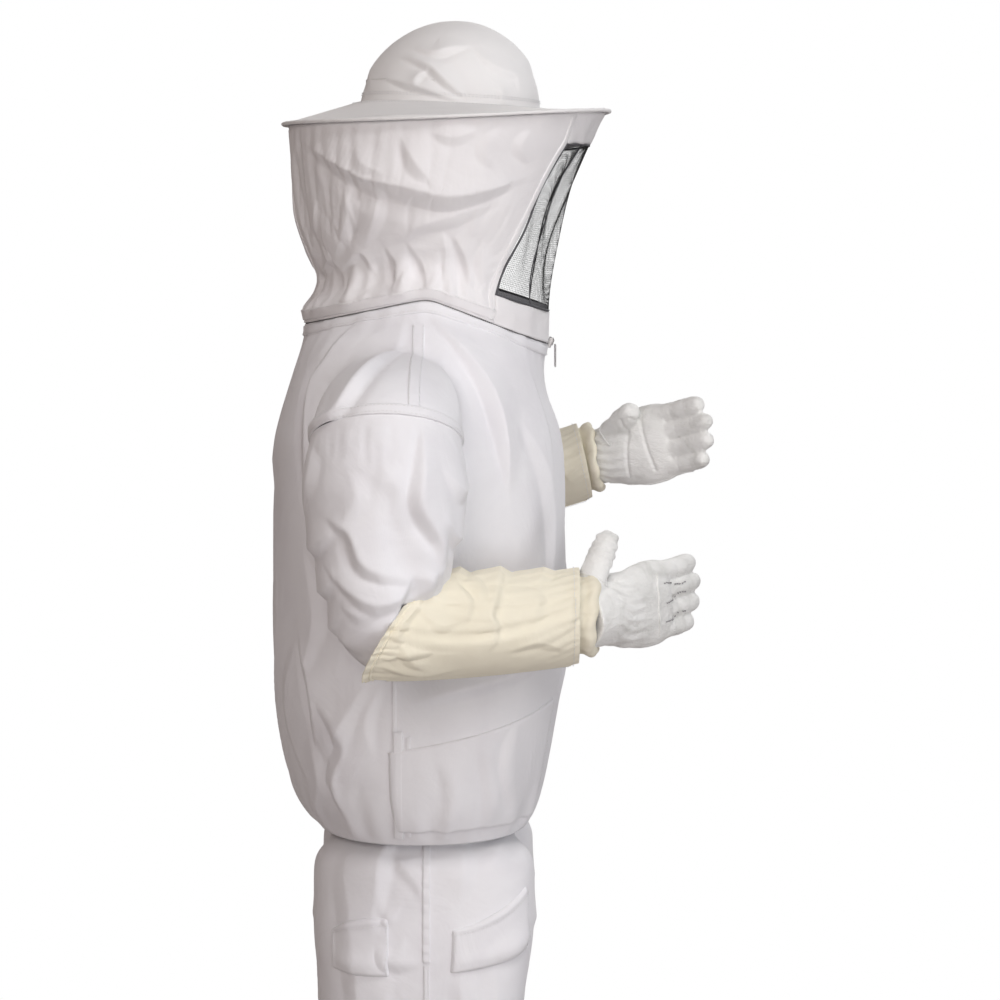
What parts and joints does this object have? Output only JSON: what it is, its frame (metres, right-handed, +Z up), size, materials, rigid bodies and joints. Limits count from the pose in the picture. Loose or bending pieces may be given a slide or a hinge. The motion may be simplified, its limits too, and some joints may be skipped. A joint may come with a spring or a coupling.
{
  "type": "beekeeping suit",
  "caption": "Two-piece beekeeping suit in its worn shape: smock with a zipped round veil hat, trousers and gauntlet gloves.",
  "frame": {"origin": "middle of the wearer's neck, level with the hood zip's mean height, where the smock hangs", "axes": "+Z up along the wearer, +X forwards through the veil's net, +Y to the wearer's left"},
  "size_m": [0.507, 0.8013, 1.7116],
  "materials": {
    "cotton": "plain woven white cotton drill, matt",
    "hat_cloth": "stiffened white cotton, matt",
    "net": "black polyester bee net, see-through",
    "elastic": "woven elastic and soft tape, matt",
    "canvas": "unbleached cream canvas, matt",
    "leather": "soft white grained goatskin",
    "zip_tape": "white zip tape with moulded teeth",
    "zip_metal": "nickel-plated"
  },
  "bodies": {
    "smock": {"smock_front": "cotton", "smock_back": "cotton", "smock_pocket_left": "cotton", "smock_pocket_right": "cotton", "hem_elastic": "elastic", "neck_zip_tape": "zip_tape"},
    "hood": {"hat_crown": "hat_cloth", "hat_brim": "hat_cloth", "brim_binding": "hat_cloth", "hat_sweatband": "elastic", "hood_zip_tape": "zip_tape", "veil_net": "net", "veil_cloth_left": "cotton", "veil_cloth_right": "cotton", "veil_forehead_cloth": "cotton", "veil_chin_band": "cotton"},
    "trousers": {"trouser_waistband": "elastic", "trouser_front_left": "cotton", "trouser_front_right": "cotton", "trouser_back_left": "cotton", "trouser_back_right": "cotton", "trouser_front_pocket_left": "cotton", "trouser_front_pocket_right": "cotton", "trouser_back_pocket_left": "cotton", "trouser_back_pocket_right": "cotton"},
    "right_slider": {"zip_slider_right": "zip_metal"},
    "right_pull": {"zip_pull_right": "zip_metal"},
    "right_upper_sleeve": {"sleeve_upper_right": "cotton"},
    "right_forearm": {"sleeve_fore_right": "cotton", "sleeve_cuff_right": "elastic"},
    "right_glove": {"glove_gauntlet_right": "canvas", "glove_wrist_band_right": "canvas", "glove_hand_right": "leather", "gauntlet_elastic_right": "canvas"},
    "right_lower_leg": {"trouser_lower_leg_right": "cotton", "ankle_elastic_right": "elastic"},
    "left_slider": {"zip_slider_left": "zip_metal"},
    "left_pull": {"zip_pull_left": "zip_metal"},
    "left_upper_sleeve": {"sleeve_upper_left": "cotton"},
    "left_forearm": {"sleeve_fore_left": "cotton", "sleeve_cuff_left": "elastic"},
    "left_glove": {"glove_gauntlet_left": "canvas", "glove_wrist_band_left": "canvas", "glove_hand_left": "leather", "gauntlet_elastic_left": "canvas"},
    "left_lower_leg": {"trouser_lower_leg_left": "cotton", "ankle_elastic_left": "elastic"}
  },
  "joints": [
    {"name": "hood_tip", "type": "hinge", "parent": "smock", "child": "hood", "pos_m": [-0.13858, 0, 0.00823], "axis": [0, -1, 0], "range_deg": [0, 75]},
    {"name": "right_slider_run", "type": "hinge", "parent": "smock", "child": "right_slider", "pos_m": [0.004, 0, 0.037], "axis": [-0.3584, 0, -0.9336], "range_deg": [0, 35]},
    {"name": "right_pull_swing", "type": "hinge", "parent": "right_slider", "child": "right_pull", "pos_m": [0.14994, -0.01093, -0.01809], "axis": [-0.0698, -0.9976, 0], "range_deg": [0, 150]},
    {"name": "right_arm_turn", "type": "hinge", "parent": "smock", "child": "right_upper_sleeve", "pos_m": [-0.035, -0.298, -0.111], "axis": [0, -0.4202, -0.9074], "range_deg": [0, 30]},
    {"name": "right_elbow_bend", "type": "hinge", "parent": "right_upper_sleeve", "child": "right_forearm", "pos_m": [-0.034, -0.342, -0.303], "axis": [-0.4622, 0.8717, -0.163], "range_deg": [0, 60]},
    {"name": "right_glove_slide", "type": "slide", "parent": "right_forearm", "child": "right_glove", "axis": [0.884, 0.4673, -0.0078], "range_m": [0, 0.28]},
    {"name": "left_slider_run", "type": "hinge", "parent": "smock", "child": "left_slider", "pos_m": [0.004, 0, 0.037], "axis": [0.3584, 0, 0.9336], "range_deg": [0, 35]},
    {"name": "left_pull_swing", "type": "hinge", "parent": "left_slider", "child": "left_pull", "pos_m": [0.14994, 0.01093, -0.01809], "axis": [0.0698, -0.9976, 0], "range_deg": [0, 150]},
    {"name": "left_arm_turn", "type": "hinge", "parent": "smock", "child": "left_upper_sleeve", "pos_m": [-0.035, 0.298, -0.111], "axis": [0, -0.4202, 0.9074], "range_deg": [0, 30]},
    {"name": "left_elbow_bend", "type": "hinge", "parent": "left_upper_sleeve", "child": "left_forearm", "pos_m": [-0.01, 0.352, -0.225], "axis": [0.3124, 0.8411, 0.4416], "range_deg": [0, 60]},
    {"name": "left_glove_slide", "type": "slide", "parent": "left_forearm", "child": "left_glove", "axis": [0.8618, -0.4464, 0.2407], "range_m": [0, 0.28]},
    {"name": "trouser_slide", "type": "slide", "parent": "smock", "child": "trousers", "axis": [0, 0, -1], "range_m": [0, 0.3]},
    {"name": "right_knee_bend", "type": "hinge", "parent": "trousers", "child": "right_lower_leg", "pos_m": [-0.111, -0.103, -0.945], "axis": [0, 1, 0], "range_deg": [0, 60]},
    {"name": "left_knee_bend", "type": "hinge", "parent": "trousers", "child": "left_lower_leg", "pos_m": [-0.111, 0.103, -0.945], "axis": [0, 1, 0], "range_deg": [0, 60]}
  ]
}
